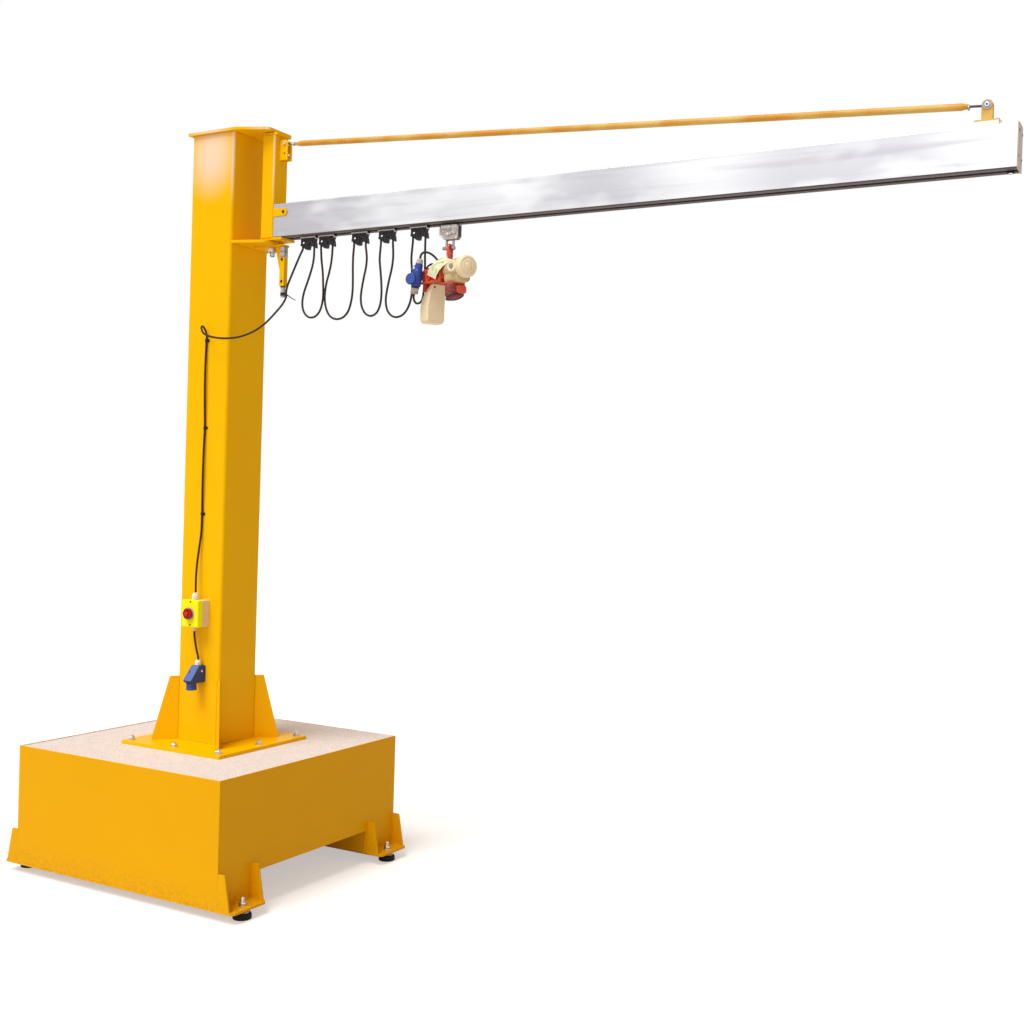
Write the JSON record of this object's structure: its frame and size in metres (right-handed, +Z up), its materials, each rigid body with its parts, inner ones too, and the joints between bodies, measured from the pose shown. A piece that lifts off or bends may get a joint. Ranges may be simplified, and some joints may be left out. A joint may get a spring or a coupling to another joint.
{
  "type": "mobile jib crane",
  "caption": "Free-standing pillar jib crane on a ballasted base with fork tunnel: swinging tie-rod jib, cable trolleys and a small hook-hung electric hoist.",
  "frame": {"origin": "on the floor under the middle of the base, in the column's axis", "axes": "+X along the jib at rest, +Z up, +Y across the base away from the switch"},
  "size_m": [3.969, 1.16, 3.24],
  "materials": {
    "casing_paint": "semi-gloss enamel",
    "column_paint": "semi-gloss enamel",
    "tie_paint": "semi-gloss enamel",
    "concrete": "cast and floated",
    "zinc": "zinc plated",
    "foot_rubber": "moulded",
    "beam_aluminium": "mill finish extrusion",
    "cap_grey": "moulded",
    "trolley_black": "moulded",
    "cable_black": "rubber sheathed cable",
    "hoist_orange": "painted casting",
    "hoist_cream": "moulded cover",
    "bag_fabric": "coated woven bag",
    "coupler_blue": "moulded",
    "inlet_blue": "moulded",
    "switch_yellow": "moulded",
    "knob_red": "moulded",
    "gland_white": "moulded",
    "trolley_steel": "zinc plated plate"
  },
  "bodies": {
    "stand": {"side_walls": "casing_paint", "end_walls": "casing_paint", "tunnel_lining": "casing_paint", "counterweight": "concrete", "skids": "casing_paint", "foot_studs": "zinc", "rubber_feet": "foot_rubber", "base_plate": "column_paint", "corner_gussets": "column_paint", "column": "column_paint", "nose_plates": "column_paint", "pivot_pins": "zinc", "cable_guide": "column_paint", "switch_box": "switch_yellow", "cable_glands": "gland_white", "wall_inlet": "inlet_blue", "column_cable": "cable_black", "cable_clips": "trolley_black", "feed_cable": "cable_black"},
    "knob": {"switch_knob": "knob_red"},
    "jib": {"yoke": "column_paint", "yoke_lugs": "column_paint", "jib_beam": "beam_aluminium", "beam_end_cap": "cap_grey", "tip_bracket": "tie_paint", "tie_rod": "tie_paint", "tie_rod_ends": "zinc", "lead_in_cable": "cable_black", "cable_trolley_1": "trolley_black", "cable_loop_1": "cable_black"},
    "trolley_2": {"cable_trolley_2": "trolley_black", "cable_loop_2": "cable_black"},
    "trolley_3": {"cable_trolley_3": "trolley_black", "cable_loop_3": "cable_black"},
    "trolley_4": {"cable_trolley_4": "trolley_black", "cable_loop_4": "cable_black"},
    "hoist_carriage": {"cable_trolley_5": "trolley_black", "hoist_trolley": "trolley_steel", "hoist_hook": "hoist_orange", "hoist_casting": "hoist_orange", "hoist_motor": "hoist_cream", "hoist_cover": "hoist_cream", "chain_bag": "bag_fabric", "cable_coupler": "coupler_blue", "coupler_cable": "cable_black", "hoist_cable": "cable_black"}
  },
  "joints": [
    {"name": "jib_swing", "type": "hinge", "parent": "stand", "child": "jib", "pos_m": [0.25, 0, 2.98], "axis": [0, 0, 1], "range_deg": [-115, 115]},
    {"name": "switch_turn", "type": "hinge", "parent": "stand", "child": "knob", "pos_m": [0.008, -0.19, 1.13], "axis": [0, -1, 0], "range_deg": [0, 90]},
    {"name": "hoist_travel", "type": "slide", "parent": "trolley_4", "child": "hoist_carriage", "axis": [1, 0, 0], "range_m": [0, 0.5]},
    {"name": "trolley_2_travel", "type": "slide", "parent": "jib", "child": "trolley_2", "axis": [1, 0, 0], "range_m": [0, 0.5]},
    {"name": "trolley_3_travel", "type": "slide", "parent": "trolley_2", "child": "trolley_3", "axis": [1, 0, 0], "range_m": [0, 0.5]},
    {"name": "trolley_4_travel", "type": "slide", "parent": "trolley_3", "child": "trolley_4", "axis": [1, 0, 0], "range_m": [0, 0.5]}
  ],
  "couplings": [
    {"joint": "trolley_2_travel", "follows": "hoist_travel", "ratio": 1},
    {"joint": "trolley_3_travel", "follows": "hoist_travel", "ratio": 1},
    {"joint": "trolley_4_travel", "follows": "hoist_travel", "ratio": 1}
  ]
}
